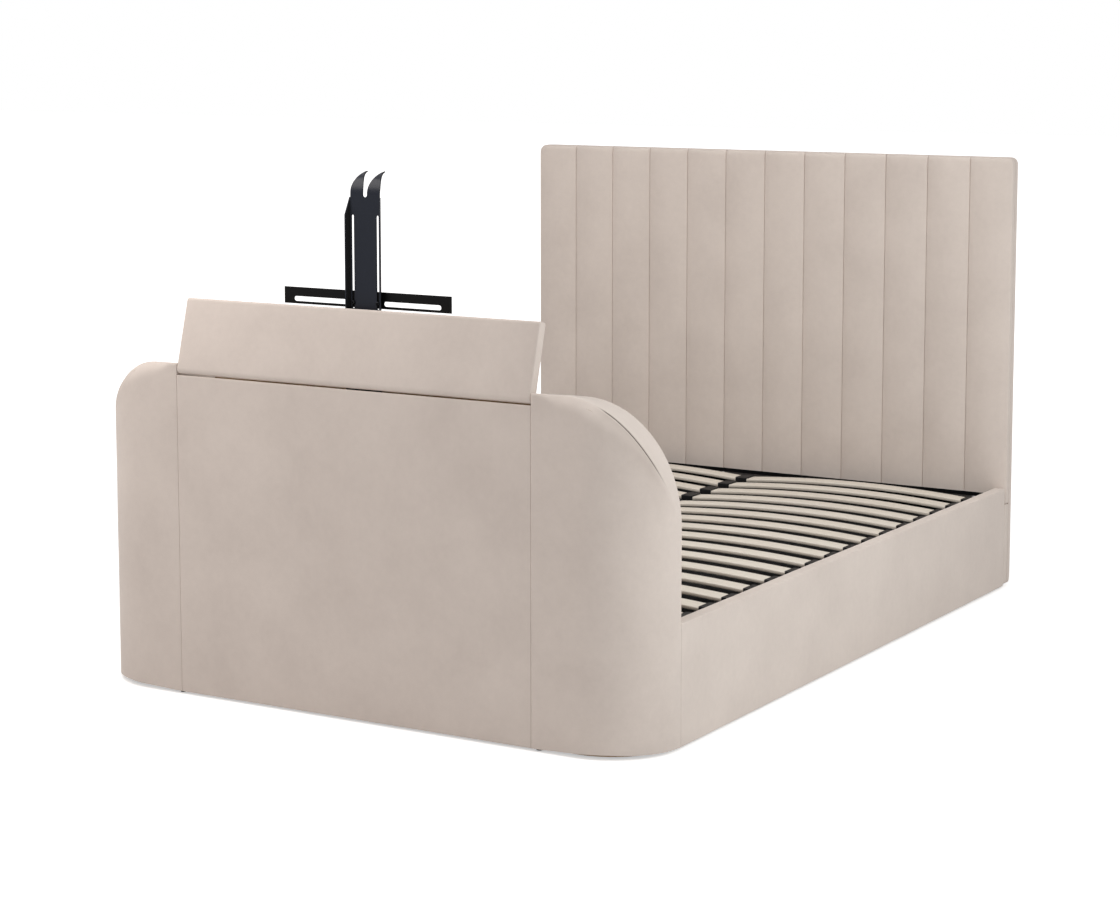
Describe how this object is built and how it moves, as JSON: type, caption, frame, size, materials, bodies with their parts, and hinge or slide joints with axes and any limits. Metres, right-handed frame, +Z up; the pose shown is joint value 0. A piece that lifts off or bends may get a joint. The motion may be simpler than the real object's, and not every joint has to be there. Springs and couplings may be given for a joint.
{
  "type": "television bed",
  "caption": "Upholstered double bed with a channelled headboard, bowed slats and a rounded footboard that hides a raising television mount under a hinged lid.",
  "frame": {"origin": "on the floor under the middle of the bed", "axes": "+X to the right seen from the foot, +Y from the foot to the head, +Z up"},
  "size_m": [1.6, 2.248, 1.3081],
  "materials": {
    "velvet": "short-pile velvet",
    "board": "raw board",
    "slat_wood": "satin",
    "black_steel": "satin powder coat",
    "aluminium": "satin",
    "black_plastic": "matte",
    "zinc_steel": "zinc plated",
    "bronze": "satin"
  },
  "bodies": {
    "bed": {"bracket_bolts": "zinc_steel", "centre_leg_feet": "black_plastic", "centre_legs": "black_steel", "corner_brackets": "black_steel", "end_ledgers": "black_steel", "footboard_back_board": "board", "footboard_back_cover": "velvet", "footboard_floor": "board", "footboard_front_board": "board", "footboard_front_pad": "velvet", "footboard_glides": "black_plastic", "frame_bolts": "zinc_steel", "frame_centre_beam": "black_steel", "frame_nuts": "zinc_steel", "frame_tube_foot": "black_steel", "frame_tube_head": "black_steel", "frame_tube_left": "black_steel", "frame_tube_right": "black_steel", "headboard_board": "board", "headboard_channels": "velvet", "headboard_glides": "black_plastic", "headboard_lower_pad": "velvet", "headboard_rear_cover": "velvet", "lid_pivot_bushes": "bronze", "lift_base_plate": "black_steel", "lift_control_box": "black_plastic", "lift_gearbox": "black_steel", "lift_guide": "aluminium", "lift_motor": "black_steel", "lift_top_bracket": "black_steel", "power_inlet": "black_plastic", "rail_board_left": "board", "rail_board_right": "board", "rail_cover_left": "velvet", "rail_cover_right": "velvet", "rail_ledger_left": "black_steel", "rail_ledger_right": "black_steel", "slat_holders_centre": "black_plastic", "slat_holders_left": "black_plastic", "slat_holders_right": "black_plastic", "slats_left": "slat_wood", "slats_right": "slat_wood", "wing_cheek_left": "board", "wing_cheek_right": "board", "wing_cover_left": "velvet", "wing_cover_right": "velvet", "wing_shell_left": "board", "wing_shell_right": "board"},
    "mast": {"tv_mast": "black_steel", "mast_bolts": "zinc_steel", "lift_carriage": "aluminium", "carriage_glides": "black_plastic", "lift_nut": "bronze"},
    "crossbar": {"tv_crossbar": "black_steel", "crossbar_bolts": "zinc_steel", "crossbar_nuts": "zinc_steel"},
    "lid": {"lid_cover": "velvet", "lid_board": "board", "lid_pivot_pins": "zinc_steel"},
    "spindle": {"lift_spindle": "zinc_steel"}
  },
  "joints": [
    {"name": "tv_lift", "type": "slide", "parent": "bed", "child": "mast", "axis": [0, 0, 1], "range_m": [-0.598, 0]},
    {"name": "crossbar_height", "type": "slide", "parent": "mast", "child": "crossbar", "axis": [0, 0, 1], "range_m": [-0.01, 0.198]},
    {"name": "lid_hinge", "type": "hinge", "parent": "bed", "child": "lid", "pos_m": [0, -1.1105, 0.8155], "axis": [1, 0, 0], "range_deg": [0, 15]},
    {"name": "spindle_turn", "type": "hinge", "parent": "bed", "child": "spindle", "pos_m": [0, -1.072, 0], "axis": [0, 0, 1], "range_deg": [-21529, 1]}
  ],
  "couplings": [
    {"joint": "spindle_turn", "follows": "tv_lift", "rad_per_m": 628.32}
  ]
}
